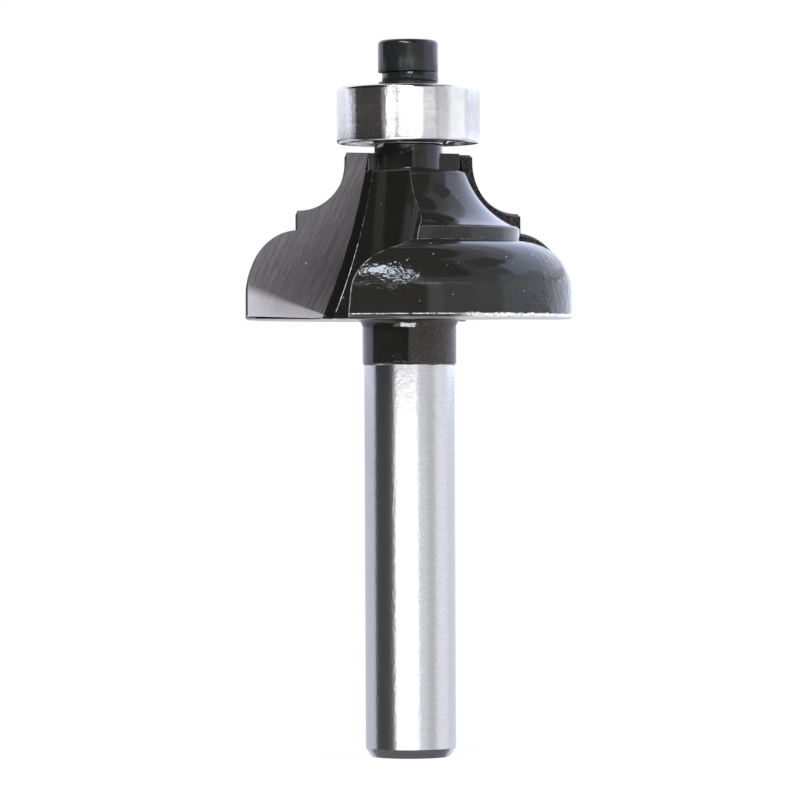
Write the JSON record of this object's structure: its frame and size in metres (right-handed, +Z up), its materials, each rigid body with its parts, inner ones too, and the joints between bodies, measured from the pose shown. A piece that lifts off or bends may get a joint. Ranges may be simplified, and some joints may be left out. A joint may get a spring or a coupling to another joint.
{
  "type": "router bit",
  "caption": "Ogee router bit with carbide tips brazed to a steel body, a straight shank, and a shielded ball-bearing pilot held on top by a socket cap screw.",
  "frame": {"origin": "centre of the shank's end face, on the axis of rotation", "axes": "+Z up the axis from the shank to the pilot; the picture looks along +Y, with +X to its right"},
  "size_m": [0.029, 0.029, 0.0635],
  "materials": {
    "black_paint": "gloss black paint on the head and neck, bare ground steel on the shank",
    "carbide": "tungsten carbide with slanted grinding marks",
    "bearing_steel": "ground and polished bearing steel",
    "shield_steel": "pressed steel",
    "ball_steel": "polished",
    "cage_steel": "pressed steel",
    "shim_steel": "plain steel",
    "black_oxide": "black oxide, slightly oily"
  },
  "bodies": {
    "cutter": {"cutter_body": "black_paint", "carbide_tip_1": "carbide", "carbide_tip_2": "carbide", "bearing_inner_ring": "bearing_steel", "shim_washer": "shim_steel", "spring_washer": "black_oxide", "cap_screw": "black_oxide"},
    "pilot": {"bearing_outer_ring": "bearing_steel", "shield_lower": "shield_steel", "shield_upper": "shield_steel"},
    "ball_cage": {"cage_lower": "cage_steel", "cage_upper": "cage_steel", "cage_rivets": "cage_steel"},
    "rolling_ball_1": {"ball_1": "ball_steel"},
    "rolling_ball_2": {"ball_2": "ball_steel"},
    "rolling_ball_3": {"ball_3": "ball_steel"},
    "rolling_ball_4": {"ball_4": "ball_steel"},
    "rolling_ball_5": {"ball_5": "ball_steel"},
    "rolling_ball_6": {"ball_6": "ball_steel"},
    "rolling_ball_7": {"ball_7": "ball_steel"}
  },
  "joints": [
    {"name": "pilot_spin", "type": "hinge", "parent": "cutter", "child": "pilot", "pos_m": [0, 0, 0.05681], "axis": [0, 0, 1], "continuous": true},
    {"name": "cage_spin", "type": "hinge", "parent": "cutter", "child": "ball_cage", "pos_m": [0, 0, 0.05681], "axis": [0, 0, 1], "continuous": true},
    {"name": "ball_1_roll", "type": "hinge", "parent": "ball_cage", "child": "rolling_ball_1", "pos_m": [0, -0.00437, 0.05681], "axis": [0, 0, 1], "continuous": true},
    {"name": "ball_2_roll", "type": "hinge", "parent": "ball_cage", "child": "rolling_ball_2", "pos_m": [0.00341, -0.00272, 0.05681], "axis": [0, 0, 1], "continuous": true},
    {"name": "ball_3_roll", "type": "hinge", "parent": "ball_cage", "child": "rolling_ball_3", "pos_m": [0.00426, 0.00097, 0.05681], "axis": [0, 0, 1], "continuous": true},
    {"name": "ball_4_roll", "type": "hinge", "parent": "ball_cage", "child": "rolling_ball_4", "pos_m": [0.00189, 0.00393, 0.05681], "axis": [0, 0, 1], "continuous": true},
    {"name": "ball_5_roll", "type": "hinge", "parent": "ball_cage", "child": "rolling_ball_5", "pos_m": [-0.00189, 0.00393, 0.05681], "axis": [0, 0, 1], "continuous": true},
    {"name": "ball_6_roll", "type": "hinge", "parent": "ball_cage", "child": "rolling_ball_6", "pos_m": [-0.00426, 0.00097, 0.05681], "axis": [0, 0, 1], "continuous": true},
    {"name": "ball_7_roll", "type": "hinge", "parent": "ball_cage", "child": "rolling_ball_7", "pos_m": [-0.00341, -0.00272, 0.05681], "axis": [0, 0, 1], "continuous": true}
  ],
  "couplings": [
    {"joint": "cage_spin", "follows": "pilot_spin", "ratio": 0.63635},
    {"joint": "ball_1_roll", "follows": "pilot_spin", "ratio": 1.6971},
    {"joint": "ball_2_roll", "follows": "pilot_spin", "ratio": 1.6971},
    {"joint": "ball_3_roll", "follows": "pilot_spin", "ratio": 1.6971},
    {"joint": "ball_4_roll", "follows": "pilot_spin", "ratio": 1.6971},
    {"joint": "ball_5_roll", "follows": "pilot_spin", "ratio": 1.6971},
    {"joint": "ball_6_roll", "follows": "pilot_spin", "ratio": 1.6971},
    {"joint": "ball_7_roll", "follows": "pilot_spin", "ratio": 1.6971}
  ]
}
